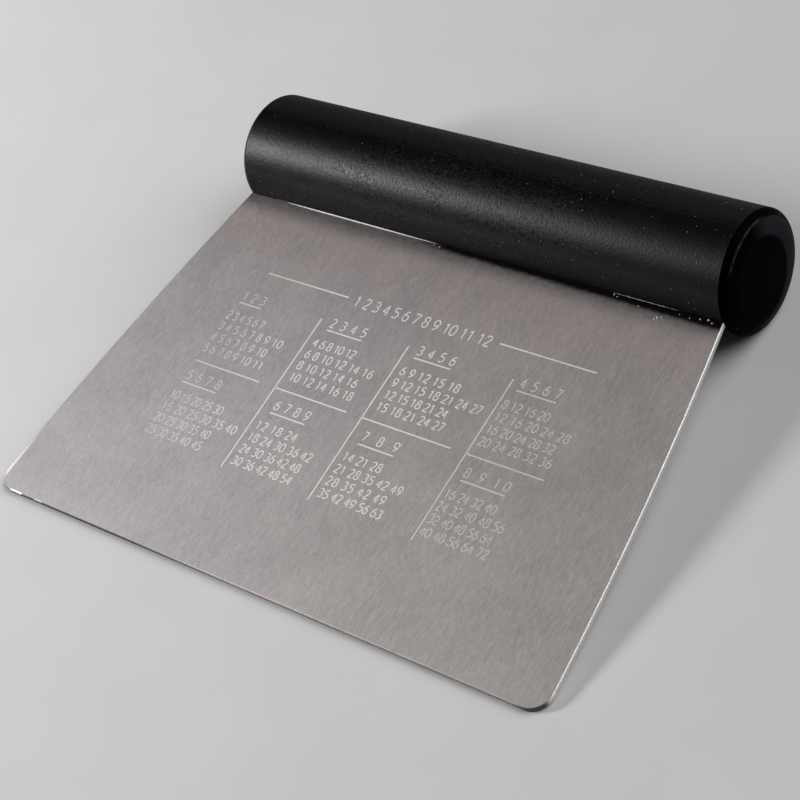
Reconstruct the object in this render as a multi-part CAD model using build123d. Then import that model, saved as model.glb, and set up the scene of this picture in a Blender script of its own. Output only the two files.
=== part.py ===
"""Bench scraper with a flared steel blade and a round grip.

Millimetres. +X runs along the grip, the scraping edge points to -Y and +Z is up.
The scraper lies as it does on a worktop, on its grip and its scraping edge, with
the origin on the worktop under the middle of the whole.

Each piece is first drawn flat, with the grip's axis on the X axis and the blade
in the XY plane. They are then tipped together by the angle at which the scraper rests.
"""
import os
from math import asin, atan2, cos, degrees, hypot, pi, sin

from build123d import *

# Blade
edge_width = 152.4        # scraping edge, before its corners are rounded
shoulder_width = 129.4    # where the blade meets the grip
blade_reach = 88.5        # from the grip to the scraping edge
blade_thickness = 1.2
side_bow = 1.2            # how far each side swells past a straight line
corner_radius = 4.5
edge_break = 0.1          # small chamfer on the arrises that a hand or a board meets

# Grip
grip_diameter = 26.5
grip_length = 128.6       # the sleeve alone, from cap to cap
grip_wall = 2.2

# End caps
cap_length = 2.4          # how far a cap stands out of the grip
cap_rounding = 4.2        # how far the rounded rim reaches in over the end face
rim_steps = 5             # short cones that the rounded rim is made of
spigot_diameter = 13.0
spigot_length = 6.0
spigot_wall = 1.8
spigot_lead = 0.6         # chamfer on the spigot's tip

# Tang and core
peg_count = 5
tang_hole_diameter = 7.0
tang_corner_radius = 2.0
core_wall = 2.0
rib_thickness = 1.8
boss_wall = 1.6
socket_floor = 2.2        # left between a socket's end and the outside of the core
peg_lead = 0.6            # chamfer on a peg's tip

# Clearances
shoulder_gap = 0.05       # blade shoulder to grip
sleeve_gap = 0.05         # core to grip, all round
slot_gap = 0.1            # tang to its slot and its seat
tang_end_gap = 1.6        # tang to the core's wall behind it
tang_side_gap = 1.4       # tang to the cap's spigot
peg_gap = 0.15            # peg to tang hole, all round
socket_gap = 0.05         # peg to socket, all round
peg_end_gap = 0.5
spigot_gap = 0.05         # spigot to its seat, all round
overrun = 1.0             # how far a cutter runs past what it cuts

# Worked out from the sizes above
grip_radius = grip_diameter / 2
core_radius = grip_radius - grip_wall - sleeve_gap
core_bore = core_radius - core_wall
shoulder_y = -(grip_radius + shoulder_gap)
edge_y = -(grip_radius + blade_reach)
half_thickness = blade_thickness / 2
tang_width = grip_length - 2 * (spigot_length + tang_side_gap)
tang_top = core_bore - tang_end_gap
peg_pitch = tang_width / peg_count
peg_places = [(place - (peg_count - 1) / 2) * peg_pitch for place in range(peg_count)]
peg_radius = tang_hole_diameter / 2 - peg_gap
socket_radius = peg_radius + socket_gap
boss_radius = socket_radius + boss_wall
socket_depth = core_radius - socket_floor

# How the scraper rests: the grip and the lower arris of the edge touch the worktop
contact_y = edge_y + edge_break
tip_angle = asin(grip_radius / hypot(contact_y, half_thickness)) - atan2(half_thickness, -contact_y)
front_reach = -edge_y * cos(tip_angle) + (half_thickness - edge_break) * sin(tip_angle)
axis_y = (front_reach - grip_radius) / 2
rest = Pos(0, axis_y, grip_radius) * Rot(degrees(tip_angle), 0, 0)


def rod(radius, length):
    """A round bar along X, centred on the origin."""
    return Cylinder(radius, length, rotation=(0, 90, 0))


def half_rod(radius, length):
    """The upper half of a round bar along X."""
    upper = Box(length, 2 * radius, radius, align=(Align.CENTER, Align.CENTER, Align.MIN))
    return rod(radius, length) & upper


def slot_cutter(back):
    """Room for the tang, from in front of the grip to a given depth."""
    front = shoulder_y - overrun
    cutter = Box(tang_width + 2 * slot_gap, back - front, blade_thickness + 2 * slot_gap)
    return Pos(0, (back + front) / 2, 0) * cutter


def blade_outline():
    """Flared blade with bowed sides, stepping in at its shoulders to the tang."""
    edge_half = edge_width / 2
    shoulder_half = shoulder_width / 2
    tang_half = tang_width / 2
    swell = (edge_half + shoulder_half) / 2 + side_bow
    middle_y = (edge_y + shoulder_y) / 2
    edge = Line((-edge_half, edge_y), (edge_half, edge_y))
    tang_end = Line((-tang_half, tang_top), (tang_half, tang_top))
    outline = [edge, tang_end]
    for side in (-1, 1):
        corner = (side * edge_half, edge_y)
        shoulder = (side * shoulder_half, shoulder_y)
        root = (side * tang_half, shoulder_y)
        outline += [
            ThreePointArc(corner, (side * swell, middle_y), shoulder),
            Line(shoulder, root),
            Line(root, (side * tang_half, tang_top)),
        ]
    face = make_face(outline)
    face = fillet(face.vertices().group_by(Axis.Y)[0], corner_radius)
    return fillet(face.vertices().group_by(Axis.Y)[-1], tang_corner_radius)


def blade():
    """Steel sheet: blade, shoulders and pierced tang in one."""
    sheet = extrude(blade_outline(), half_thickness, both=True)
    for x in peg_places:
        sheet -= Pos(x, 0, 0) * Cylinder(tang_hole_diameter / 2, blade_thickness + 2 * overrun)
    outside = shoulder_y - edge_break
    arrises = [
        arris
        for face in sheet.faces().filter_by(Axis.Z)
        for arris in face.outer_wire().edges()
        if arris.center().Y < outside
    ]
    return chamfer(arrises, edge_break)


def core_blank():
    """Half-round moulding above the tang, cored out between ribs round one boss a bay."""
    blank = half_rod(core_radius, grip_length)
    bay = half_rod(core_bore, peg_pitch - rib_thickness) - Cylinder(boss_radius, 2 * core_radius)
    for x in peg_places:
        blank -= Pos(x, 0, 0) * bay
    seat_length = spigot_length + spigot_gap
    seat = rod(spigot_diameter / 2 + spigot_gap, 2 * seat_length)
    for side in (-1, 1):
        blank -= Pos(side * grip_length / 2, 0, 0) * seat
    return blank - slot_cutter(tang_top + slot_gap)


def core_upper():
    """Upper core half, whose pegs pass down through the tang's holes."""
    half = core_blank()
    reach = socket_depth - peg_end_gap
    peg = Cylinder(peg_radius, reach + blade_thickness, align=(Align.CENTER, Align.CENTER, Align.MIN))
    peg = chamfer(peg.edges().group_by(Axis.Z)[0], peg_lead)
    for x in peg_places:
        half += Pos(x, 0, -reach) * peg
    return half


def core_lower():
    """Lower core half, whose sockets take the pegs."""
    half = core_blank()
    socket = Cylinder(socket_radius, socket_depth, align=(Align.CENTER, Align.CENTER, Align.MIN))
    for x in peg_places:
        half -= Pos(x, 0, 0) * socket
    return mirror(half, Plane.XY)


def grip_sleeve():
    """Soft sleeve over the core, slotted for the tang."""
    sleeve = rod(grip_radius, grip_length) - rod(grip_radius - grip_wall, grip_length + 2 * overrun)
    return sleeve - slot_cutter(0)


def end_cap():
    """Right cap: rounded rim, flat end face, and a hollow spigot that presses into the core."""
    seam = grip_length / 2
    tip = seam - spigot_length
    spigot_radius = spigot_diameter / 2
    bore = spigot_radius - spigot_wall
    turns = [step * pi / 2 / rim_steps for step in range(rim_steps + 1)]
    rim = [
        (seam + cap_length * sin(turn), grip_radius - cap_rounding * (1 - cos(turn)))
        for turn in turns
    ]
    inside = [
        (seam + cap_length, 0),
        (seam, 0),
        (seam, bore),
        (tip, bore),
        (tip, spigot_radius - spigot_lead),
        (tip + spigot_lead, spigot_radius),
        (seam, spigot_radius),
    ]
    return revolve(make_face(Polyline(rim + inside, close=True)), Axis.X)


right_cap = end_cap()
pieces = {
    "blade": blade(),
    "core_upper": core_upper(),
    "core_lower": core_lower(),
    "grip_sleeve": grip_sleeve(),
    "end_cap_right": right_cap,
    "end_cap_left": Rot(0, 0, 180) * right_cap,
}

os.makedirs("parts", exist_ok=True)
for name, piece in pieces.items():
    export_step(rest * piece, f"parts/{name}.step")
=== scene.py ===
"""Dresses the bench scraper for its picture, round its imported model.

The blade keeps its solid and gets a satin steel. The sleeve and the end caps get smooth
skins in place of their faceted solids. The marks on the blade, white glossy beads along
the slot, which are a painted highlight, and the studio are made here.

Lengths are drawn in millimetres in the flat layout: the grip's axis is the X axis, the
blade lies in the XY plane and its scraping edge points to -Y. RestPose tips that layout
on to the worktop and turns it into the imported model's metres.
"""
from __future__ import annotations

import logging
from dataclasses import dataclass
from enum import Enum
from math import asin, atan2, cos, hypot, pi, radians, sin
from typing import Any, Sequence

import bmesh
import bpy
from mathutils import Matrix, Vector

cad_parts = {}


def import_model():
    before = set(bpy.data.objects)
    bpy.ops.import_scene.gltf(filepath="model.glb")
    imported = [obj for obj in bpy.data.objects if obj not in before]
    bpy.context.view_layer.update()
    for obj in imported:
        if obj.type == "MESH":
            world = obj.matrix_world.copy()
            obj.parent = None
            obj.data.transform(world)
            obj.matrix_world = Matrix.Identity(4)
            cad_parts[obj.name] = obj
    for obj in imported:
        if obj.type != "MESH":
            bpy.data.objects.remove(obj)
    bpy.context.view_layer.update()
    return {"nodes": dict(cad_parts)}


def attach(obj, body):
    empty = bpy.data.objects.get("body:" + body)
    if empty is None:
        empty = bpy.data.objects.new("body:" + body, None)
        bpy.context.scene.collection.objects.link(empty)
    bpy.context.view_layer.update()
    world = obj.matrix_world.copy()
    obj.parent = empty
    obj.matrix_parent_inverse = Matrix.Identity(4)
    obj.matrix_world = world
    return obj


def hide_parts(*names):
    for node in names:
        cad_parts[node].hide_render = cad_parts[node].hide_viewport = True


LOG = logging.getLogger("scraper")
Node = bpy.types.Node
Socket = bpy.types.NodeSocket
Object = bpy.types.Object
Mesh = bpy.types.Mesh
Material = bpy.types.Material
Point = tuple[float, float]
Strokes = list[list[Point]]
Triple = tuple[float, float, float]
Colour = Triple
Size = float | Triple
Even = tuple[tuple[str, float], ...]
Source = Node | Socket
Values = dict[Any, Any]
METRES = 0.001
WELD = 1e-5
SHARP_ANGLE = 35.0


class Slot(Enum):
    """The record's material slots that are dressed here."""

    STEEL = "blade_steel"
    RUBBER = "grip_rubber"
    CAP = "cap_plastic"


class Side(Enum):
    """An end of the grip, by the sign of its X."""

    LEFT = -1
    RIGHT = 1


@dataclass(frozen=True)
class RestPose:
    """How the flat layout lies on the worktop: on the grip and on the scraping edge."""

    grip_radius: float = 13.25
    blade_reach: float = 88.5
    half_thickness: float = 0.6
    edge_break: float = 0.1

    @property
    def tip_angle(self) -> float:
        """Radians by which the blade dips towards its edge."""
        contact = self.grip_radius + self.blade_reach - self.edge_break
        radius = hypot(contact, self.half_thickness)
        return asin(self.grip_radius / radius) - atan2(self.half_thickness, contact)

    @property
    def place(self) -> Vector:
        """The grip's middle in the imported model, in metres."""
        front = (self.grip_radius + self.blade_reach) * cos(self.tip_angle)
        front += (self.half_thickness - self.edge_break) * sin(self.tip_angle)
        return Vector((0, (front - self.grip_radius) / 2, self.grip_radius)) * METRES

    @property
    def matrix(self) -> Matrix:
        """The flat layout in millimetres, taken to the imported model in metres."""
        turn = Matrix.Rotation(self.tip_angle, 4, "X")
        return Matrix.Translation(self.place) @ turn @ Matrix.Scale(METRES, 4)


POSE = RestPose()


class Wire:
    """One value in a material. Python's arithmetic on it adds Math nodes."""

    def __init__(self, graph: Nodes, source: Source) -> None:
        """Wraps a value.

        Args:
            graph: The nodes that it belongs to.
            source: Its output socket, or the node whose first output it is.
        """
        self.graph = graph
        self.source = source

    def _math(self, operation: str, *values: Value, clamp: bool = False) -> Wire:
        """Adds one Math node.

        Args:
            operation: The node's operation.
            values: Its operands, in order.
            clamp: Whether the result is kept between 0 and 1.

        Returns:
            The node's result.
        """
        settings = {"operation": operation, "use_clamp": clamp}
        return Wire(self.graph, self.graph.node("ShaderNodeMath", settings, dict(enumerate(values))))

    def __add__(self, other: Value) -> Wire:
        """Sum."""
        return self._math("ADD", self, other)

    __radd__ = __add__

    def __sub__(self, other: Value) -> Wire:
        """Difference."""
        return self._math("SUBTRACT", self, other)

    def __rsub__(self, other: Value) -> Wire:
        """Difference, the other way round."""
        return self._math("SUBTRACT", other, self)

    def __mul__(self, other: Value) -> Wire:
        """Product."""
        return self._math("MULTIPLY", self, other)

    __rmul__ = __mul__

    def __truediv__(self, other: Value) -> Wire:
        """Quotient."""
        return self._math("DIVIDE", self, other)

    def clamped(self) -> Wire:
        """The value, kept between 0 and 1."""
        return self._math("ADD", self, 0.0, clamp=True)

    def magnitude(self) -> Wire:
        """The value without its sign."""
        return self._math("ABSOLUTE", self)

    def rise(self, low: float, high: float) -> Wire:
        """Smooth step.

        Args:
            low: Where the result is 0.
            high: Where it is 1. Below low, the step falls instead.

        Returns:
            The value eased from 0 to 1 between the two.
        """
        settings = {"interpolation_type": "SMOOTHSTEP"}
        low_to, high_to = (0.0, 1.0) if low < high else (1.0, 0.0)
        inputs = {0: self, 1: min(low, high), 2: max(low, high), 3: low_to, 4: high_to}
        return Wire(self.graph, self.graph.node("ShaderNodeMapRange", settings, inputs))

    def band(self, start: float, full: float, fade: float, end: float) -> Wire:
        """Smooth hump: 0 up to start, 1 from full to fade, and 0 again from end on."""
        return self.rise(start, full) * self.rise(end, fade)


Value = float | Wire


class Nodes:
    """A tree of nodes, all of them added by one method."""

    def __init__(self, tree: bpy.types.NodeTree) -> None:
        """Wraps a tree."""
        self.tree = tree

    def node(self, kind: str, settings: Values | None = None, inputs: Values | None = None) -> Node:
        """Adds a node.

        Args:
            kind: The node's type.
            settings: Its properties.
            inputs: Values for its sockets. A node stands for its first output.

        Returns:
            The node.
        """
        made = self.tree.nodes.new(kind)
        for name, value in (settings or {}).items():
            setattr(made, name, value)
        for key, value in (inputs or {}).items():
            if isinstance(value, Wire):
                value = value.source
            if isinstance(value, Node):
                value = value.outputs[0]
            if isinstance(value, Socket):
                self.tree.links.new(value, made.inputs[key])
            else:
                made.inputs[key].default_value = value
        return made


class Graph(Nodes):
    """A material's nodes, which all start from the point in the flat layout."""

    def __init__(self, material: Material) -> None:
        """Clears a material and finds the flat point, in millimetres.

        Args:
            material: The material.
        """
        material.use_nodes = True
        super().__init__(material.node_tree)
        self.tree.nodes.clear()
        inputs = {
            "Vector": self.node("ShaderNodeTexCoord").outputs["Object"],
            "Location": POSE.place,
            "Rotation": (POSE.tip_angle, 0, 0),
            "Scale": (METRES, METRES, METRES),
        }
        self.flat = self.node("ShaderNodeMapping", {"vector_type": "TEXTURE"}, inputs)

    def stretch(self, size: Size, turn: float) -> Node:
        """Turns the flat point about Z, then divides it by a size.

        Args:
            size: Length of one feature, the same all round or along X, Y and Z.
            turn: Degrees.

        Returns:
            The point in features.
        """
        scale = size if isinstance(size, tuple) else (size, size, size)
        inputs = {"Vector": self.flat, "Rotation": (0, 0, radians(turn)), "Scale": scale}
        return self.node("ShaderNodeMapping", {"vector_type": "TEXTURE"}, inputs)

    def axes(self, vector: Source | None = None) -> tuple[Wire, Wire, Wire]:
        """X, Y and Z of a vector, or else of the flat point."""
        made = self.node("ShaderNodeSeparateXYZ", inputs={0: vector or self.flat})
        return tuple(Wire(self, output) for output in made.outputs)

    def noise(self, size: Size, detail: float = 2.0, roughness: float = 0.5, turn: float = 0.0) -> Wire:
        """Noise from 0 to 1, mostly between 0.3 and 0.7.

        Args:
            size: Length of one feature, the same all round or along X, Y and Z.
            detail: Octaves.
            roughness: Weight of the finer octaves.
            turn: Degrees that long features are turned by.

        Returns:
            The noise.
        """
        vector = self.stretch(size, turn)
        inputs = {"Vector": vector, "Scale": 1.0, "Detail": detail, "Roughness": roughness}
        return Wire(self, self.node("ShaderNodeTexNoise", inputs=inputs))

    def specks(self, pitch: float, size: float, shape: Triple = (1, 1, 1), turn: float = 0.0) -> Wire:
        """Scattered specks.

        Args:
            pitch: Their mean spacing.
            size: Radius of the largest.
            shape: How many times longer they are along X, Y and Z.
            turn: Degrees that long ones are turned by.

        Returns:
            1 in a speck, 0 elsewhere.
        """
        reach = tuple(pitch * share for share in shape)
        inputs = {"Vector": self.stretch(reach, turn), "Scale": 1.0}
        cell = self.node("ShaderNodeTexVoronoi", inputs=inputs)
        spread = self.axes(cell.outputs["Color"])[0] * 0.7 + 0.3
        distance = Wire(self, cell.outputs["Distance"]) / spread
        return distance.rise(size / pitch, 0.6 * size / pitch)

    def mix(self, factor: Value, first: Any, second: Any) -> Socket:
        """Mixes two colours.

        Args:
            factor: Share of the second.
            first: A colour or its socket.
            second: A colour or its socket.

        Returns:
            The mixed colour.
        """
        ends = [(*end, 1.0) if isinstance(end, tuple) else end for end in (first, second)]
        inputs = {0: factor, 6: ends[0], 7: ends[1]}
        return self.node("ShaderNodeMix", {"data_type": "RGBA"}, inputs).outputs[2]

    def shade(self, colour: Any, amount: Value) -> Node:
        """Multiplies a colour by a number."""
        return self.node("ShaderNodeVectorMath", {"operation": "SCALE"}, {0: colour, 3: amount})

    def bump(self, height: Wire, depth: float, normal: Node | None = None) -> Node:
        """Surface relief.

        Args:
            height: Height from 0 to 1.
            depth: Its depth in millimetres.
            normal: The normal that the relief starts from, if not the mesh's own.

        Returns:
            The bent normal.
        """
        inputs = {"Height": height, "Distance": depth * METRES, "Strength": 1.0}
        if normal:
            inputs["Normal"] = normal
        return self.node("ShaderNodeBump", inputs=inputs)


@dataclass(frozen=True)
class Finish:
    """A finish, painted as one Principled shader. Even holds what is the same all over it."""

    name: str = "finish"
    even: Even = ()

    def material(self) -> Material:
        """Makes the material.

        Returns:
            The material, with its nodes.
        """
        made = bpy.data.materials.new(self.name)
        graph = Graph(made)
        inputs = {**dict(self.even), **self.paint(graph)}
        shader = graph.node("ShaderNodeBsdfPrincipled", inputs=inputs)
        graph.node("ShaderNodeOutputMaterial", inputs={"Surface": shader})
        return made

    def paint(self, graph: Graph) -> Values:
        """Values that change over the surface, by socket."""
        return {}


@dataclass(frozen=True)
class SatinSteel(Finish):
    """Stainless sheet with a fine short grain along the blade's depth, a little worn."""

    name: str = "satin_steel"
    even: Even = (("IOR", 2.5),)
    warm: Colour = (0.618, 0.552, 0.545)
    cool: Colour = (0.594, 0.556, 0.566)
    dull: Colour = (0.6, 0.562, 0.542)
    # Painted highlight: the left side line and the front-left glints.
    burnished: Colour = (0.98, 0.96, 0.95)
    # Painted highlight on the right side face.
    rubbed: Colour = (0.82, 0.81, 0.8)
    nicked: Colour = (0.85, 0.84, 0.82)
    # Painted shade where the blade enters the grip.
    soiled: Colour = (0.012, 0.011, 0.011)
    grain: Triple = (0.3, 1.9, 1.0)
    fine: Triple = (0.17, 0.8, 1.0)
    streak: Triple = (1.3, 20.0, 4.0)
    hair: Triple = (0.26, 3.2, 2.0)
    cross_hair: Triple = (0.26, 2.6, 2.0)
    mottle: float = 1.5
    cloud: float = 13.0
    nick_pitch: float = 5.5
    nick_size: float = 0.2
    roughness: float = 0.56
    grain_depth: float = 0.02
    arris: float = 0.4
    shoulder_place: float = 13.3
    shoulder_half: float = 64.7
    edge_half: float = 76.2
    side_bow: float = 1.2

    def look(self, graph: Graph) -> tuple[Socket, Wire, Wire]:
        """Grain, streaks, clouds, hair scratches, nicks, painted light towards the left and painted shade
        along the grip.

        Args:
            graph: The material's nodes.

        Returns:
            Colour, roughness and height of the grain.
        """
        grain = graph.noise(self.grain, 2.0, 0.55, turn=2.0)
        fine = graph.noise(self.fine, 2.0, 0.6, turn=-3.0)
        streak = graph.noise(self.streak, 3.0, turn=-1.0)
        mottle = graph.noise(self.mottle)
        cloud = graph.noise(self.cloud, 3.0)
        hair = graph.noise(self.hair, 1.0, turn=14.0).rise(0.73, 0.79)
        cross = graph.noise(self.cross_hair, 1.0, turn=-24.0).rise(0.76, 0.81)
        scratch = (hair + cross).clamped()
        nick = graph.specks(self.nick_pitch, self.nick_size)
        x, y, _ = graph.axes()
        ragged = graph.noise((1.5, 0.8, 1.0), 4.0, 0.65)
        # Painted shade: the steel within about 6 mm of the grip is darkened, raggedly.
        film_and_shade = y.rise(-19.5, -13.4) * (0.35 + 0.5 * ragged)
        # Painted shade: a ragged near-black band right where the blade enters the grip, from the middle
        # rightwards.
        join_shade = (y + 0.7 * ragged + 0.012 * x).rise(-15.0, -13.4) * x.rise(-16.0, -4.0)
        colour = graph.mix((0.02 * x + cloud).rise(0.0, 1.0), self.cool, self.dull)
        colour = graph.mix((0.04 * y + cloud).rise(-1.1, -0.3), colour, self.warm)
        tone = 0.555 + 0.26 * grain + 0.38 * fine + 0.08 * streak + 0.12 * mottle + 0.08 * cloud
        # Painted light: the middle of the blade's depth is painted lighter, most towards the left. Towards
        # the scraping edge the tone is 2% darker.
        handled_and_lit_band = y.band(-96.0, -70.0, -42.0, -24.0)
        painted_light_left = 0.04 * x.rise(60.0, 0.0) + 0.03 * x.band(-72.0, -50.0, -30.0, 12.0)
        tone = tone * (1.0 - 0.02 * y.rise(-74.0, -88.0)) * (1.0 + handled_and_lit_band * painted_light_left)
        # The tone, lighter on scratches, darkened by the painted shade beside the grip.
        colour = graph.shade(colour, (tone + 0.14 * scratch) * (1.0 - film_and_shade))
        # The painted shade at the join.
        colour = graph.mix((join_shade * 1.1).clamped(), colour, self.soiled)
        roughness = self.roughness - 0.07 + 0.08 * grain + 0.06 * cloud - 0.1 * scratch
        height = grain + 0.4 * fine - 0.5 * scratch
        return graph.mix(nick * 0.8, colour, self.nicked), roughness, height

    def paint(self, graph: Graph) -> Values:
        """The steel, with a painted highlight down its flared left side, on its right side face and in
        short glints at the front-left end, and painted shade along its scraping edge.

        Args:
            graph: The material's nodes.

        Returns:
            Base colour, metallic, roughness and normal.
        """
        x, y, z = graph.axes()
        steel, roughness, height = self.look(graph)
        rounded = graph.node("ShaderNodeBevel", {"samples": 6}, {"Radius": self.arris * METRES})
        lean_x, lean_y, _ = graph.axes(rounded)
        front = lean_y.rise(-0.12, -0.45)
        # Painted highlight: short glints on the top of the front arris, in two dashes (tip) near the
        # front-left end.
        glint_line = front * z.rise(0.1, 0.4)
        tip = x.band(-71.8, -70.9, -68.0, -67.4) + 0.3 * x.band(-64.0, -63.0, -61.4, -60.6)
        down = (y + self.shoulder_place) * (-1.0 / POSE.blade_reach)
        inward = x + self.shoulder_half + (self.edge_half - self.shoulder_half) * down
        inward = inward + 4.0 * self.side_bow * down * (1.0 - down)
        # Painted highlight: a white, matt line within 1 mm of the flared left side, towards the front.
        left = inward.rise(1.0, 0.55) * y.rise(-84.0, -98.0)
        # Painted highlight: the right side face and its arris are painted lighter.
        right = lean_x.rise(0.2, 0.6) * y.rise(-99.6, -98.0)
        bright = (left + glint_line * tip).clamped()
        # Painted shade along the front arris and the scraping edge's face, strongest at the left and at
        # the far right.
        front_shade = 0.3 + 0.5 * (x.rise(0.0, -40.0) + x.rise(68.0, 73.0)).clamped()
        colour = graph.mix(right, graph.shade(steel, 1.0 - front * front_shade), self.rubbed)
        return {
            # Painted highlights: the left side line, in matt white, and the front-left glints.
            "Base Color": graph.mix(bright, colour, self.burnished),
            "Metallic": 1.0 - 0.85 * left,
            "Roughness": roughness - 0.12 * glint_line * tip - 0.08 * right,
            "Normal": graph.bump(height, self.grain_depth, rounded),
        }


@dataclass(frozen=True)
class EtchedMark(Finish):
    """Pale matt etching in the steel, worn thin where a hand and dough wear it."""

    name: str = "etched_mark"
    steel: SatinSteel = SatinSteel()
    colour: Colour = (0.9, 0.87, 0.83)
    roughness: float = 0.7
    strength: float = 0.85
    wear: float = 0.5

    def paint(self, graph: Graph) -> Values:
        """Wear, heaviest at the left and the right of the table.

        Args:
            graph: The material's nodes.

        Returns:
            Base colour, metallic, roughness and normal.
        """
        x, y, _ = graph.axes()
        steel, roughness, height = self.steel.look(graph)
        patch = graph.noise((1.1, 1.1, 1.0), 3.0, 0.6)
        pit = graph.noise((0.22, 0.3, 1.0))
        left = x.rise(-24.0, -44.0)
        right = x.rise(16.0, 34.0) * y.rise(-20.0, -46.0)
        worn = self.wear * (left + right).clamped()
        kept = (patch + 0.7 - 0.4 * worn).rise(0.35, 0.85) * (1.0 - worn) * (0.7 + 0.6 * pit)
        kept = (self.strength * kept).clamped()
        return {
            "Base Color": graph.mix(kept, steel, graph.shade(self.colour, 0.85 + 0.3 * patch)),
            "Metallic": 1.0 - 0.85 * kept,
            "Roughness": roughness + (self.roughness - self.steel.roughness) * kept,
            "Normal": graph.bump(height, self.steel.grain_depth),
        }


@dataclass(frozen=True)
class MattRubber(Finish):
    """Black rubber that hands have polished along the top, with dust and a little lint."""

    name: str = "matt_rubber"
    even: Even = (("Specular IOR Level", 0.24),)
    colour: Colour = (0.001, 0.001, 0.0012)
    bloomed: Colour = (0.003, 0.003, 0.0034)
    dusty: Colour = (0.5, 0.49, 0.46)
    polished: float = 0.4
    dull: float = 0.68
    grain: float = 0.62
    grain_depth: float = 0.05
    dust_pitch: float = 1.4
    dust_size: float = 0.14
    lint_pitch: float = 2.9
    lint_size: float = 0.09
    parting_line: float = 0.9

    def paint(self, graph: Graph) -> Values:
        """Grain, polish, speckle, dust, lint and the mould's parting line.

        Args:
            graph: The material's nodes.

        Returns:
            Base colour, roughness and normal.
        """
        x, y, z = graph.axes()
        grain = graph.noise(self.grain, 3.0, 0.65)
        bloom = graph.noise((7.0, 4.0, 4.0), 4.0, 0.6)
        patch = graph.noise(12.0)
        handled_and_lit_band = y.band(-12.4, -11.0, 0.0, 4.0) * z.rise(0.0, 2.0)
        speckled = x.band(-48.0, -22.0, 20.0, 44.0) * bloom.rise(0.35, 0.55)
        parting = (y - self.parting_line - 0.3 * bloom).magnitude().rise(0.3, 0.08)
        parting = parting * x.rise(-30.0, -10.0)
        dust = graph.specks(self.dust_pitch, self.dust_size)
        dust = dust * (patch + 0.2 * x.rise(-30.0, 60.0)).rise(0.48, 0.62)
        lint = graph.specks(self.lint_pitch, self.lint_size, (1.0, 6.0, 6.0), 25.0)
        soil = (dust * 0.6 + lint * patch.rise(0.5, 0.58) * 0.3).clamped()
        hazy = y.rise(2.5, 5.0) * x.band(-40.0, -20.0, 0.0, 18.0)
        film_and_shade = bloom.rise(0.45, 0.75) * (0.4 + 0.6 * hazy) * (1.0 - parting)
        colour = graph.mix(film_and_shade, self.colour, self.bloomed)
        polish = self.dull - (self.dull - self.polished) * handled_and_lit_band
        speckle = (0.15 + 1.0 * speckled) * (grain - 0.5)
        return {
            "Base Color": graph.mix(soil, colour, self.dusty),
            "Roughness": polish + 0.12 * (bloom - 0.5) + speckle + 0.1 * parting + 0.25 * soil,
            "Normal": graph.bump(grain, self.grain_depth),
        }


@dataclass(frozen=True)
class SatinPlastic(Finish):
    """Black moulded plastic, dusty, with a painted reflection round its rim and a painted highlight along
    the rim's top.
    """

    name: str = "satin_plastic"
    even: Even = (("Specular IOR Level", 0.008),)
    colour: Colour = (0.0004, 0.0004, 0.0005)
    # Painted reflection round the rim.
    bloomed: Colour = (0.019, 0.0165, 0.021)
    # Painted highlight along the rim's top.
    scuffed: Colour = (0.035, 0.036, 0.034)
    dusty: Colour = (0.3, 0.29, 0.28)
    roughness: float = 0.45
    grain_depth: float = 0.01
    rim_place: float = 65.9
    rim_width: float = 0.2
    face_radius: float = 9.05
    ring_shift: float = 1.8

    def paint(self, graph: Graph) -> Values:
        """Moulded grain, a painted reflection round the rim towards its back, a painted highlight along
        the rim's top, and dust.

        Args:
            graph: The material's nodes.

        Returns:
            Base colour, roughness and normal.
        """
        x, y, z = graph.axes()
        grain = graph.noise(0.5)
        cloud = graph.noise(5.0, 3.0)
        streaks = graph.noise((1.2, 1.6, 0.5), 3.0).rise(0.42, 0.7)
        beyond = x.magnitude() - self.rim_place
        back = y + self.ring_shift
        spread = (back * back + z * z) / self.face_radius
        # Painted reflection: the outer part of the face, out over its rounded rim, is painted lighter
        # towards the back.
        ring = beyond.rise(0.0, 0.3) * spread.rise(self.face_radius, 1.25 * self.face_radius)
        ring = ring * (0.87 * y - 0.5 * z).rise(-5.0, 2.0)
        # Painted highlight: a thin, streaky arc along the top of the rim.
        glint_line = beyond.magnitude().rise(self.rim_width, 0.3 * self.rim_width)
        glint_line = glint_line * z.rise(8.5, 11.2) * y.rise(8.0, 4.0) * (0.35 + 0.9 * streaks)
        dust = graph.specks(2.2, 0.18) * cloud.rise(0.45, 0.55)
        lint = graph.specks(2.6, 0.1, (4.0, 1.0, 7.0)) * cloud.rise(0.5, 0.56)
        # The painted reflection, then the painted highlight.
        colour = graph.mix(ring * (0.6 + 0.5 * cloud), self.colour, self.bloomed)
        colour = graph.mix(glint_line.clamped(), colour, self.scuffed)
        return {
            "Base Color": graph.mix((dust * 0.8 + lint * 0.5).clamped(), colour, self.dusty),
            "Roughness": self.roughness - 0.06 + 0.12 * cloud,
            "Normal": graph.bump(grain, self.grain_depth),
        }


POLISHED = SatinPlastic("polished_plastic", (("Specular IOR Level", 0.25),), roughness=0.42)


@dataclass(frozen=True)
class MouldedCore(Finish):
    """Plain grey-black plastic as it leaves the mould, inside the grip."""

    name: str = "moulded_core"
    colour: Colour = (0.1, 0.1, 0.1)
    grain_depth: float = 0.008

    def paint(self, graph: Graph) -> Values:
        """Flow marks and an even grain.

        Args:
            graph: The material's nodes.

        Returns:
            Base colour, roughness and normal.
        """
        flow = graph.noise((18.0, 4.0, 4.0), 3.0)
        colour = graph.shade(self.colour, 0.8 + 0.4 * flow)
        normal = graph.bump(graph.noise(0.4), self.grain_depth)
        return {"Base Color": colour, "Roughness": 0.5 + 0.15 * flow, "Normal": normal}


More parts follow.
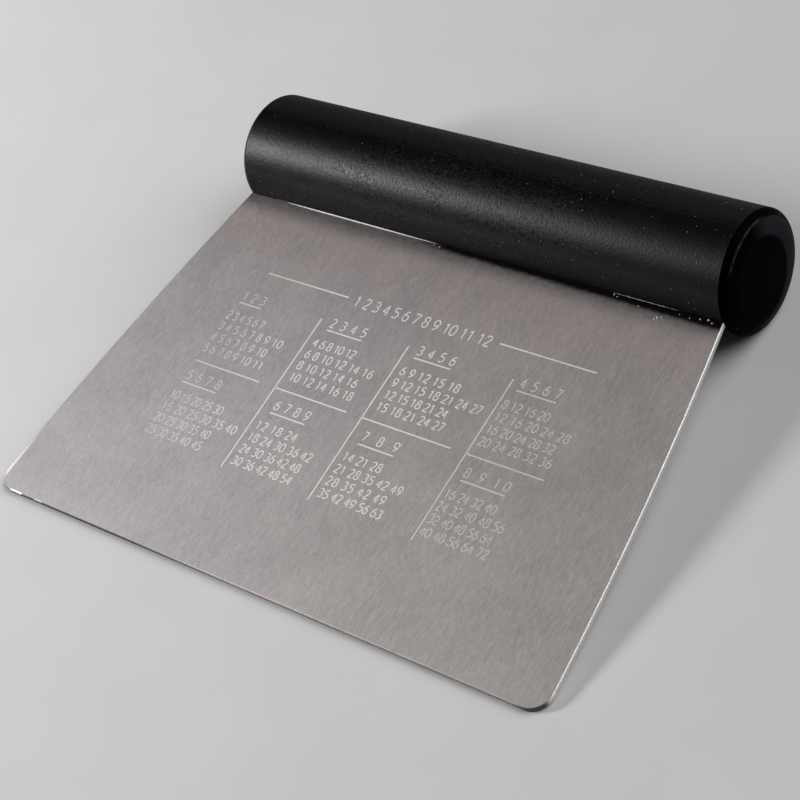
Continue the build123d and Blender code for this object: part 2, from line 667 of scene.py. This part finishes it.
@dataclass(frozen=True)
class ClearSealant(Finish):
    """Pale glossy white, for the beads along the slot, which are a painted highlight, and for the crumbs
    beside them.
    """

    name: str = "pale_gloss"
    even: Even = (("Specular IOR Level", 0.6),)
    colour: Colour = (0.92, 0.91, 0.92)

    def paint(self, graph: Graph) -> Values:
        """Uneven tone and gloss.

        Args:
            graph: The material's nodes.

        Returns:
            Base colour and roughness.
        """
        flow = graph.noise((2.5, 0.4, 0.4))
        colour = graph.shade(self.colour, 0.88 + 0.24 * flow)
        return {"Base Color": colour, "Roughness": 0.25 + 0.2 * flow}


@dataclass(frozen=True)
class Worktop(Finish):
    """Plain pale stone paint of the floor."""

    name: str = "worktop"
    even: Even = (("Roughness", 0.85), ("Specular IOR Level", 0.2))
    colour: Colour = (0.64, 0.638, 0.64)

    def paint(self, graph: Graph) -> Values:
        """A breath of unevenness."""
        cloud = graph.noise(35.0, 5.0, 0.6)
        return {"Base Color": graph.shade(self.colour, 0.95 + 0.1 * cloud)}


class Tree(Nodes):
    """A Geometry Nodes tree with named inputs."""

    def __init__(self, name: str) -> None:
        """Starts the tree.

        Args:
            name: The tree's name.
        """
        super().__init__(bpy.data.node_groups.new(name, "GeometryNodeTree"))
        self.tree.interface.new_socket("Geometry", in_out="OUTPUT", socket_type="NodeSocketGeometry")
        self.entry = self.node("NodeGroupInput")
        self.start = self.input("Geometry", "Geometry")

    def input(self, name: str, kind: str = "Float") -> Socket:
        """Adds a named input to the tree and returns its socket."""
        self.tree.interface.new_socket(name, in_out="INPUT", socket_type=f"NodeSocket{kind}")
        return self.entry.outputs[name]

    def close(self, geometry: Node) -> Tree:
        """Ends the tree with Realize Instances and Set Material.

        Args:
            geometry: The node before them.

        Returns:
            The tree.
        """
        real = self.node("GeometryNodeRealizeInstances", inputs={0: geometry})
        inputs = {"Geometry": real, "Material": self.input("Material", "Material")}
        dressed = self.node("GeometryNodeSetMaterial", inputs=inputs)
        self.node("NodeGroupOutput", inputs={0: dressed})
        return self

    def grow(self, piece: Object, values: Values) -> Object:
        """Runs the tree on a piece and leaves a plain mesh.

        Args:
            piece: The object that carries the tree's input.
            values: The tree's inputs, by name.

        Returns:
            The piece, with no modifier.
        """
        modifier = piece.modifiers.new(self.tree.name, "NODES")
        modifier.node_group = self.tree
        for item in self.tree.interface.items_tree:
            if item.in_out == "INPUT" and item.name in values:
                modifier[item.identifier] = values[item.name]
        view = bpy.context.evaluated_depsgraph_get()
        made = bpy.data.meshes.new_from_object(piece.evaluated_get(view), depsgraph=view)
        piece.modifiers.remove(modifier)
        piece.data = made
        made.name = piece.name
        return piece


def link(name: str, data: Any) -> Object:
    """Puts a mesh, a light or a camera in the scene.

    Args:
        name: The object's name.
        data: What it shows.

    Returns:
        The object, at the origin.
    """
    made = bpy.data.objects.new(name, data)
    bpy.context.scene.collection.objects.link(made)
    return made


def threads(
    name: str, points: Sequence[Triple], edges: Sequence[tuple[int, int]], radii: Sequence[float] = ()
) -> Mesh:
    """Makes a mesh for a tree to grow on.

    Args:
        name: The mesh's name.
        points: Its points.
        edges: Its edges.
        radii: The points' radii, where the tree asks for them.

    Returns:
        The mesh.
    """
    made = bpy.data.meshes.new(name)
    made.from_pydata(points, edges, [])
    if radii:
        made.attributes.new("radius", "FLOAT", "POINT").data.foreach_set("value", radii)
    return made


def seat(piece: Object) -> None:
    """Tips a piece from the flat layout on to the worktop and hands it to the frame.

    Args:
        piece: The piece.
    """
    shell = bmesh.new()
    shell.from_mesh(piece.data)
    bmesh.ops.remove_doubles(shell, verts=shell.verts, dist=WELD)
    bmesh.ops.transform(shell, matrix=POSE.matrix, verts=shell.verts)
    bmesh.ops.recalc_face_normals(shell, faces=shell.faces)
    shell.to_mesh(piece.data)
    shell.free()
    for polygon in piece.data.polygons:
        polygon.use_smooth = True
    piece.data.set_sharp_from_angle(angle=radians(SHARP_ANGLE))
    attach(piece, "root")
    LOG.info("%s: %d faces", piece.name, len(piece.data.polygons))


@dataclass
class KeptSolids:
    """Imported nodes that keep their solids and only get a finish."""

    nodes: tuple[str, ...]
    finish: Finish

    def dress(self, packed: dict[str, Object]) -> None:
        """Paints the nodes.

        Args:
            packed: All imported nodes, by name.
        """
        for name in self.nodes:
            packed[name].data.materials.clear()
            packed[name].data.materials.append(self.finish.material())
            LOG.info("%s: %s", name, self.finish.name)


@dataclass
class Blade(KeptSolids):
    """The steel sheet."""

    nodes: tuple[str, ...] = ("blade",)
    finish: Finish = SatinSteel()


@dataclass
class Core(KeptSolids):
    """The two pegged core halves inside the grip."""

    nodes: tuple[str, ...] = ("core_upper", "core_lower")
    finish: Finish = MouldedCore()


@dataclass
class Sleeve:
    """Round rubber sleeve with the slot that the tang passes through."""

    radius: float = POSE.grip_radius
    length: float = 128.6
    wall: float = 2.2
    slot_length: float = 114.0
    slot_height: float = 1.4
    segments: int = 180
    finish: MattRubber = MattRubber()

    def build(self) -> None:
        """Makes the sleeve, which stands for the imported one."""
        piece = link("grip_skin", self._mesh())
        piece.data.materials.append(self.finish.material())
        seat(piece)
        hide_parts("grip_sleeve")

    def _angles(self, radius: float) -> list[float]:
        """Angles of the section's points.

        Args:
            radius: Radius of the wall.

        Returns:
            Radians from +Y: from lip to lip of the slot, then two inside it.
        """
        lip = asin(self.slot_height / 2 / radius)
        start, sweep = pi + lip, 2 * (pi - lip)
        arc = [start + sweep * step / self.segments for step in range(self.segments + 1)]
        return arc + [3 * pi - lip / 3, 3 * pi + lip / 3]

    def _mesh(self) -> Mesh:
        """Tube, its slot cut between rings 1 and 2 outside and 5 and 6 inside.

        Returns:
            The mesh.
        """
        half, slot = self.length / 2, self.slot_length / 2
        stations = [(x, self.radius) for x in (-half, -slot, slot, half)]
        stations += [(x, self.radius - self.wall) for x in (half, slot, -slot, -half)]
        shell = bmesh.new()
        rings = [
            [shell.verts.new((x, r * cos(angle), r * sin(angle))) for angle in self._angles(r)]
            for x, r in stations
        ]
        around = range(len(rings[0]))
        arc, gap = around[: self.segments], around[self.segments :]
        slotted, count = (1, 5), len(rings)
        walls = [(span, (span + 1) % count, arc if span in slotted else around) for span in range(count)]
        for first, second, steps in walls + [(1, 6, gap), (2, 5, gap)]:
            for step in steps:
                pair = (step, (step + 1) % len(around))
                corners = [rings[first][place] for place in pair]
                shell.faces.new(corners + [rings[second][place] for place in reversed(pair)])
        for lip in (0, self.segments):
            shell.faces.new([rings[ring][lip] for ring in (1, 2, 5, 6)])
        made = bpy.data.meshes.new("grip_skin")
        shell.to_mesh(made)
        shell.free()
        return made


@dataclass
class EndCap:
    """Cap with an elliptical rim, a flat face and a hollow spigot. Hands polish the left one."""

    side: Side
    seam: float = 64.3
    radius: float = POSE.grip_radius
    length: float = 2.4
    rounding: float = 4.2
    spigot_radius: float = 6.5
    spigot_length: float = 6.0
    spigot_bore: float = 4.7
    spigot_lead: float = 0.6
    rim_steps: int = 20
    segments: int = 160
    weld: float = 1e-4
    finish: SatinPlastic = SatinPlastic()

    def build(self) -> None:
        """Turns the cap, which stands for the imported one."""
        end = self.side.name.lower()
        piece = link(f"cap_skin_{end}", self._mesh())
        piece.data.materials.append(self.finish.material())
        seat(piece)
        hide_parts(f"end_cap_{end}")

    def _profile(self) -> list[Point]:
        """Draws the half section.

        Returns:
            Its points, from the face's centre over the rim to the spigot's floor.
        """
        turns = [pi / 2 * (1 - step / self.rim_steps) for step in range(self.rim_steps + 1)]
        rim = [
            (self.seam + self.length * sin(turn), self.radius - self.rounding * (1 - cos(turn)))
            for turn in turns
        ]
        tip = self.seam - self.spigot_length
        spigot = [
            (self.seam, self.spigot_radius),
            (tip + self.spigot_lead, self.spigot_radius),
            (tip, self.spigot_radius - self.spigot_lead),
            (tip, self.spigot_bore),
            (self.seam, self.spigot_bore),
        ]
        return [(self.seam + self.length, 0.0), *rim, *spigot, (self.seam, 0.0)]

    def _mesh(self) -> Mesh:
        """Turns the section about the grip's axis.

        Returns:
            The mesh.
        """
        shell = bmesh.new()
        points = [shell.verts.new((self.side.value * x, r, 0)) for x, r in self._profile()]
        edges = [shell.edges.new(pair) for pair in zip(points, points[1:])]
        about = {"axis": (1, 0, 0), "cent": (0, 0, 0), "angle": 2 * pi, "steps": self.segments}
        bmesh.ops.spin(shell, geom=points + edges, use_merge=True, **about)
        bmesh.ops.remove_doubles(shell, verts=shell.verts, dist=self.weld)
        made = bpy.data.meshes.new("cap_skin")
        shell.to_mesh(made)
        shell.free()
        return made


class Digits:
    """Single-stroke numerals on a grid six wide and ten high. A slash parts two strokes."""

    WIDTH = 6.0
    HEIGHT = 10.0
    SQUEEZE = 0.92
    SPACE = 0.5
    STROKES = {
        "0": "3,10 5.3,8.4 6,5 5.3,1.6 3,0 0.7,1.6 0,5 0.7,8.4 3,10",
        "1": "1.2,8 3.4,10 / 3.4,10 3.4,0",
        "2": "0.4,8.4 1.4,9.6 3,10 4.9,9.3 5.6,7.5 4.6,5.2 2.4,2.6 0,0 / 0,0 6,0",
        "3": "0.5,9.2 2.6,10 4.7,9.3 5.3,7.6 4.4,5.9 2.2,5.3 / "
        "2.2,5.3 4.8,4.7 5.9,2.8 4.9,0.8 2.6,0 0.2,0.8",
        "4": "4.4,0 4.4,10 / 4.4,10 0,3 / 0,3 6,3",
        "5": "5.3,10 1,10 / 1,10 0.7,5.6 / 0.7,5.6 2.9,6.1 5.1,5.2 5.9,3.1 4.9,0.9 2.5,0 0.2,0.7",
        "6": "4.9,9.8 2.6,8.5 0.9,6 0.2,3.2 1.1,0.8 3.1,0 5.2,0.9 5.9,3.1 5.1,5.2 3.2,6 1.1,5 0.3,3.4",
        "7": "0.2,10 6,10 / 6,10 1.9,0",
        "8": "3,5.3 1.1,6.2 0.6,7.9 1.3,9.5 3,10 4.7,9.5 5.4,7.9 4.9,6.2 3,5.3 / "
        "3,5.3 0.8,4.4 0,2.6 0.8,0.7 3,0 5.2,0.7 6,2.6 5.2,4.4 3,5.3",
        "9": "1.1,0.2 3.4,1.5 5.1,4 5.8,6.8 4.9,9.2 2.9,10 0.8,9.1 0.1,6.9 0.9,4.8 2.8,4 4.9,5 5.7,6.6",
    }

    @classmethod
    def advances(cls, text: str) -> list[float]:
        """How far each mark moves the pen, in digits."""
        return [cls.SPACE if mark == " " else 1.0 for mark in text]

    @classmethod
    def strokes(cls, mark: str) -> Strokes:
        """The strokes of a numeral, as lists of points. A space has none."""
        paths = filter(None, cls.STROKES.get(mark, "").split("/"))
        return [[tuple(map(float, point.split(","))) for point in path.split()] for path in paths]

    @classmethod
    def draw(cls, text: str, left: float, right: float, middle: float, height: float) -> Strokes:
        """Sets a row of numerals to fill a width.

        Args:
            text: Digits and spaces.
            left: Where the row starts.
            right: Where it ends.
            middle: Middle of its height.
            height: Height of a numeral.

        Returns:
            The strokes.
        """
        scale = height / cls.HEIGHT
        advances = cls.advances(text)
        pitch = (right - left - cls.SQUEEZE * cls.WIDTH * scale) / max(sum(advances[:-1]), 1)
        drawn, start = [], left
        for mark, advance in zip(text, advances):
            for stroke in cls.strokes(mark):
                across = [start + cls.SQUEEZE * x * scale for x, _ in stroke]
                up = [middle + (y - cls.HEIGHT / 2) * scale for _, y in stroke]
                drawn.append(list(zip(across, up)))
            start += advance * pitch
        return drawn


@dataclass(frozen=True)
class Band:
    """Four boxes side by side: their lines' heights, headings' ends and rows' right ends."""

    heading: float
    underline: float
    first_row: float
    headings: tuple[Point, ...]
    row_ends: tuple[tuple[float, ...], ...]


@dataclass
class EtchedTable:
    """Ruled table of plain numerals, etched in the blade's upper face. Box n counts in n."""

    surface: float = POSE.half_thickness
    rule_width: float = 0.33
    stroke_width: float = 0.27
    stroke_step: float = 0.22
    proud: float = 0.012
    sunk: float = 0.02
    title: str = "1 2 3 4 5 6 7 8 9 10 11 12"
    title_ends: Point = (-19.0, 18.5)
    title_line: float = -32.35
    title_height: float = 2.6
    heading_height: float = 2.2
    heading_pitch: float = 1.75
    row_height: float = 2.0
    row_pitch: float = 3.12
    digit_pitch: float = 1.36
    overrun: float = 0.4
    rule_finish: EtchedMark = EtchedMark("etched_rule", strength=0.73, wear=0.4)
    numeral_finish: EtchedMark = EtchedMark("etched_numeral", strength=0.77, wear=0.53)
    title_rule_line: float = -32.1
    title_rules: tuple[Point, ...] = ((-45.05, -21.1), (20.8, 45.5))
    cross_line: float = -57.85
    cross_rules: tuple[Point, ...] = ((-48.2, -28.6), (-24.1, -3.2), (1.1, 25.0), (29.0, 48.5))
    divider_ends: Point = (-38.9, -79.1)
    dividers: tuple[Point, ...] = ((-24.07, -23.54), (0.81, 1.39), (28.75, 29.28))
    columns: tuple[float, ...] = (-48.2, -22.0, 2.8, 30.0)
    upper: Band = Band(
        -39.15, -41.15, -44.8,
        ((-47.4, -40.8), (-20.95, -11.0), (3.7, 13.7), (30.9, 41.0)),
        (
            (-37.0, -29.3, -31.7, -30.4), (-10.2, -3.0, -5.2, -4.2),
            (18.5, 26.4, 19.5, 20.6), (41.6, 48.5, 46.8, 48.0),
        ),
    )
    lower: Band = Band(
        -61.65, -63.7, -67.2,
        ((-47.4, -37.25), (-20.8, -10.9), (4.2, 13.8), (31.4, 42.6)),
        (
            (-32.4, -25.9, -31.4, -31.6), (-10.6, -4.0, -5.0, -5.2),
            (13.1, 20.8, 18.5, 19.7), (42.8, 46.8, 45.8, 46.8),
        ),
    )

    def build(self) -> None:
        """Etches the rules and the numerals."""
        tree = self._tree()
        for name, strokes, width, finish in (
            ("etched_rules", self._rules(), self.rule_width, self.rule_finish),
            ("etched_numerals", self._numerals(), self.stroke_width, self.numeral_finish),
        ):
            values = {
                "Width": width,
                "Thickness": self.proud + self.sunk,
                "Step": self.stroke_step,
                "Material": finish.material(),
            }
            seat(tree.grow(link(name, self._lines(name, strokes)), values))

    @staticmethod
    def _tree() -> Tree:
        """Lays a flat ribbon along each line of its input.

        Returns:
            The tree.
        """
        tree = Tree("etched_ribbon")
        width, thickness, step = (tree.input(name) for name in ("Width", "Thickness", "Step"))
        curve = tree.node("GeometryNodeMeshToCurve", inputs={0: tree.start})
        smooth = tree.node("GeometryNodeCurveSplineType", {"spline_type": "CATMULL_ROM"}, {"Curve": curve})
        inputs = {"Curve": smooth, "Length": step}
        even = tree.node("GeometryNodeResampleCurve", {"mode": "LENGTH"}, inputs)
        level = tree.node("GeometryNodeSetCurveNormal", {"mode": "Z_UP"}, {"Curve": even})
        inputs = {"Width": width, "Height": thickness}
        section = tree.node("GeometryNodeCurvePrimitiveQuadrilateral", {"mode": "RECTANGLE"}, inputs)
        inputs = {"Curve": level, "Profile Curve": section, "Fill Caps": True}
        return tree.close(tree.node("GeometryNodeCurveToMesh", inputs=inputs))

    def _lines(self, name: str, strokes: Strokes) -> Mesh:
        """Strokes as a mesh of edges.

        Args:
            name: The mesh's name.
            strokes: Lists of points. One whose ends meet is closed.

        Returns:
            The mesh, half way through the etching.
        """
        z = self.surface + (self.proud - self.sunk) / 2
        points, edges = [], []
        for stroke in strokes:
            closed = stroke[0] == stroke[-1]
            body = stroke[:-1] if closed else stroke
            start = len(points)
            points += [(x, y, z) for x, y in body]
            edges += [(start + step, start + step + 1) for step in range(len(body) - 1)]
            if closed:
                edges.append((len(points) - 1, start))
        return threads(name, points, edges)

    def _rules(self) -> Strokes:
        """Draws the rules.

        Returns:
            Title rules, rules across, underlines and dividers.
        """
        levels = [(self.title_rules, self.title_rule_line), (self.cross_rules, self.cross_line)]
        levels += [(band.headings, band.underline) for band in (self.upper, self.lower)]
        rules = [[(left, line), (right, line)] for ends, line in levels for left, right in ends]
        top, bottom = self.divider_ends
        return rules + [[(above, top), (below, bottom)] for above, below in self.dividers]

    def _numerals(self) -> Strokes:
        """Draws the numerals.

        Returns:
            Title, headings and rows, all in plain numbers.
        """
        strokes = Digits.draw(self.title, *self.title_ends, self.title_line, self.title_height)
        first = 0
        for band in (self.upper, self.lower):
            for column, (left, right), ends in zip(self.columns, band.headings, band.row_ends):
                first += 1
                text = self._run(first, 1, right - left, self.heading_pitch)
                strokes += Digits.draw(text, left, right, band.heading, self.heading_height)
                for row, end in enumerate(ends):
                    text = self._run(first * (row + 2), first, end - column, self.digit_pitch)
                    middle = band.first_row - row * self.row_pitch
                    strokes += Digits.draw(text, column, end, middle, self.row_height)
        return strokes

    def _run(self, first: int, step: int, width: float, pitch: float) -> str:
        """Counts in steps until a width is full.

        Args:
            first: The first number.
            step: What each next one adds.
            width: Width to fill.
            pitch: Width of a digit with its gap.

        Returns:
            The numbers, with spaces between them.
        """
        text, number = str(first), first
        while True:
            number += step
            longer = f"{text} {number}"
            if sum(Digits.advances(longer)) * pitch > width + self.overrun * pitch:
                return text
            text = longer


@dataclass(frozen=True)
class Bead:
    """A white glossy bead along the slot, a painted highlight. Ripples are its waves, in radians along its
    length.
    """

    start: float
    end: float
    most: float
    ragged: float
    gaps: float
    least: float = 0.004
    ripples: Triple = (23.0, 61.0, 37.0)

    def wave(self, along: float) -> float:
        """Waviness from -1 to 1, at a share of the length."""
        return sin(self.ripples[0] * along) * sin(self.ripples[1] * along + 1.0)

    def radius(self, along: float) -> float:
        """Radius, tapered to both ends and thin in its gaps.

        Args:
            along: Share of the length.

        Returns:
            The radius there.
        """
        taper = min(1.0, 4.0 * along, 3.0 * (1.0 - along)) ** 0.6
        kept = max(1.0 - self.gaps * (1.0 + sin(self.ripples[2] * along + 2.0)), 0.0)
        return max(self.most * taper * (1.0 + self.ragged * self.wave(along)) * kept, self.least)


@dataclass
class SlotSealant:
    """White glossy beads where the blade enters the grip, a painted highlight, with a few white crumbs
    beside them.
    """

    surface: float = POSE.half_thickness
    lip: float = -13.42
    lift: float = 0.03
    wander: float = 0.03
    crumb_lift: float = 0.3
    bead_steps: int = 90
    bead_sides: int = 10
    # The beads are a painted highlight.
    beads: tuple[Bead, ...] = (
        Bead(start=-53.5, end=-8.8, most=0.17, ragged=0.1, gaps=0.0),
        Bead(start=38.0, end=54.0, most=0.05, ragged=0.3, gaps=0.25),
    )
    crumbs: tuple[Triple, ...] = (
        (59.6, -14.0, 0.13), (61.4, -13.7, 0.17), (62.5, -14.2, 0.13), (57.3, -14.4, 0.09),
        (50.6, -16.3, 0.15), (51.4, -16.0, 0.11), (50.1, -16.8, 0.1), (52.6, -15.3, 0.08),
        (38.6, -13.8, 0.12), (39.5, -14.1, 0.09), (45.2, -14.9, 0.09), (-7.6, -14.0, 0.13),
        (54.8, -14.2, 0.08), (47.1, -16.9, 0.07), (42.4, -15.2, 0.07), (-9.4, -13.9, 0.08),
    )
    finish: ClearSealant = ClearSealant()

    def build(self) -> None:
        """Lays the beads and drops the crumbs."""
        values = {"Material": self.finish.material()}
        beads = self._bead_tree().grow(link("slot_glint", self._paths()), values)
        crumbs = self._crumb_tree().grow(link("slot_crumbs", self._places()), values)
        for piece in (beads, crumbs):
            seat(piece)

    def _paths(self) -> Mesh:
        """Lays out the beads.

        Returns:
            Their paths, with the radius at each point.
        """
        points, edges, radii = [], [], []
        for bead in self.beads:
            edges += [(len(points) + step, len(points) + step + 1) for step in range(self.bead_steps)]
            for step in range(self.bead_steps + 1):
                along = step / self.bead_steps
                x = bead.start + (bead.end - bead.start) * along
                y = self.lip - self.wander * bead.ragged * bead.wave(along)
                points.append((x, y, self.surface + self.lift))
                radii.append(bead.radius(along))
        return threads("slot_glint", points, edges, radii)

    def _places(self) -> Mesh:
        """Places of the crumbs, part sunk in the surface, with their radii."""
        points = [(x, y, self.surface + self.crumb_lift * radius) for x, y, radius in self.crumbs]
        return threads("slot_crumbs", points, [], [radius for *_, radius in self.crumbs])

    def _bead_tree(self) -> Tree:
        """Sweeps a round section of changing radius.

        Returns:
            The tree.
        """
        tree = Tree("bead")
        curve = tree.node("GeometryNodeMeshToCurve", inputs={0: tree.start})
        radius = tree.node("GeometryNodeInputNamedAttribute", {"data_type": "FLOAT"}, {"Name": "radius"})
        inputs = {"Resolution": self.bead_sides, "Radius": 1.0}
        section = tree.node("GeometryNodeCurvePrimitiveCircle", inputs=inputs)
        inputs = {"Curve": curve, "Profile Curve": section, "Scale": radius, "Fill Caps": True}
        return tree.close(tree.node("GeometryNodeCurveToMesh", inputs=inputs))

    @staticmethod
    def _crumb_tree() -> Tree:
        """Sets a turned, uneven crumb on each point.

        Returns:
            The tree.
        """
        tree = Tree("crumb")
        grain = tree.node("GeometryNodeMeshIcoSphere", inputs={"Radius": 1.0, "Subdivisions": 2})
        lumps = tree.node("ShaderNodeTexNoise", {"noise_dimensions": "3D"}, {"Scale": 1.1, "Detail": 1.0})
        normal = tree.node("GeometryNodeInputNormal")
        push = tree.node("ShaderNodeVectorMath", {"operation": "SCALE"}, {0: normal, 3: lumps})
        lump = tree.node("GeometryNodeSetPosition", inputs={"Geometry": grain, "Offset": push})
        radius = tree.node("GeometryNodeInputNamedAttribute", {"data_type": "FLOAT"}, {"Name": "radius"})
        inputs = {1: (6.283, 6.283, 6.283), "Seed": 7}
        turn = tree.node("FunctionNodeRandomValue", {"data_type": "FLOAT_VECTOR"}, inputs)
        inputs = {"Points": tree.start, "Instance": lump, "Rotation": turn, "Scale": radius}
        return tree.close(tree.node("GeometryNodeInstanceOnPoints", inputs=inputs))


@dataclass
class Studio:
    """Pale worktop, a sun, softboxes and the picture's camera. Places are in metres."""

    floor_radius: float = 6.0
    floor_sides: int = 96
    floor_drop: float = 0.00003
    world_light: float = 0.03
    sun_share: float = 0.48
    sun_spread: float = 60.0
    sun_from: Triple = (0.53, 0.53, 0.67)
    box_size: float = 0.2
    box_places: tuple[Triple, ...] = ((-0.6, -0.35, 0.35), (-0.8, -0.3, 0.5))
    box_powers: tuple[float, ...] = (3.2, 2.2)
    box_target: Triple = (0.0, 0.03, 0.01)
    camera_place: Triple = (0.288803, -0.201162, 0.323454)
    camera_turn: Triple = (44.21758, 18.79523, 37.12725)
    lens: float = 101.619
    sensor: float = 36.0
    clip: Point = (0.01, 50.0)
    finish: Worktop = Worktop()

    def build(self) -> None:
        """Makes the floor, the lights and the camera."""
        self._floor()
        self._lights()
        self._camera()
        bpy.context.scene.view_settings.view_transform = "Standard"

    def _floor(self) -> None:
        """A disc just under the object."""
        disc = bmesh.new()
        bmesh.ops.create_circle(disc, cap_ends=True, radius=self.floor_radius, segments=self.floor_sides)
        bmesh.ops.translate(disc, verts=disc.verts, vec=(0, 0, -self.floor_drop))
        made = bpy.data.meshes.new("floor")
        disc.to_mesh(made)
        disc.free()
        made.materials.append(self.finish.material())
        link("floor", made)

    def _lights(self) -> None:
        """An even world, a broad sun from behind and softboxes near the grip's left end."""
        world = bpy.data.worlds.new("studio")
        bpy.context.scene.world = world
        world.use_nodes = True
        background = world.node_tree.nodes["Background"]
        background.inputs["Color"].default_value = (1.0, 1.0, 1.0, 1.0)
        background.inputs["Strength"].default_value = self.world_light
        towards = Vector(self.sun_from).normalized()
        sun = bpy.data.lights.new("sun", "SUN")
        sun.energy = self.sun_share * pi / towards.z
        sun.angle = radians(self.sun_spread)
        lamps = [(sun, towards, Vector())]
        for place, power in zip(self.box_places, self.box_powers):
            box = bpy.data.lights.new("softbox", "AREA")
            box.shape = "DISK"
            box.size = self.box_size
            box.energy = power
            lamps.append((box, Vector(place), Vector(self.box_target)))
        for lamp, place, target in lamps:
            made = link(lamp.name, lamp)
            made.location = place
            made.rotation_euler = (target - place).to_track_quat("-Z", "Y").to_euler()

    def _camera(self) -> None:
        """The camera, at the picture's place and angle."""
        data = bpy.data.cameras.new("camera")
        data.lens = self.lens
        data.sensor_width = self.sensor
        data.clip_start, data.clip_end = self.clip
        made = link("camera", data)
        made.location = self.camera_place
        made.rotation_euler = [radians(angle) for angle in self.camera_turn]
        bpy.context.scene.camera = made


def main() -> None:
    """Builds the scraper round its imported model, then its studio."""
    logging.basicConfig(level=logging.INFO, format="%(name)s %(message)s")
    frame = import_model()
    Blade().dress(frame["nodes"])
    Core().dress(frame["nodes"])
    Sleeve().build()
    EndCap(Side.LEFT, finish=POLISHED).build()
    EndCap(Side.RIGHT).build()
    EtchedTable().build()
    SlotSealant().build()
    Studio().build()


if __name__ == "__main__":
    main()
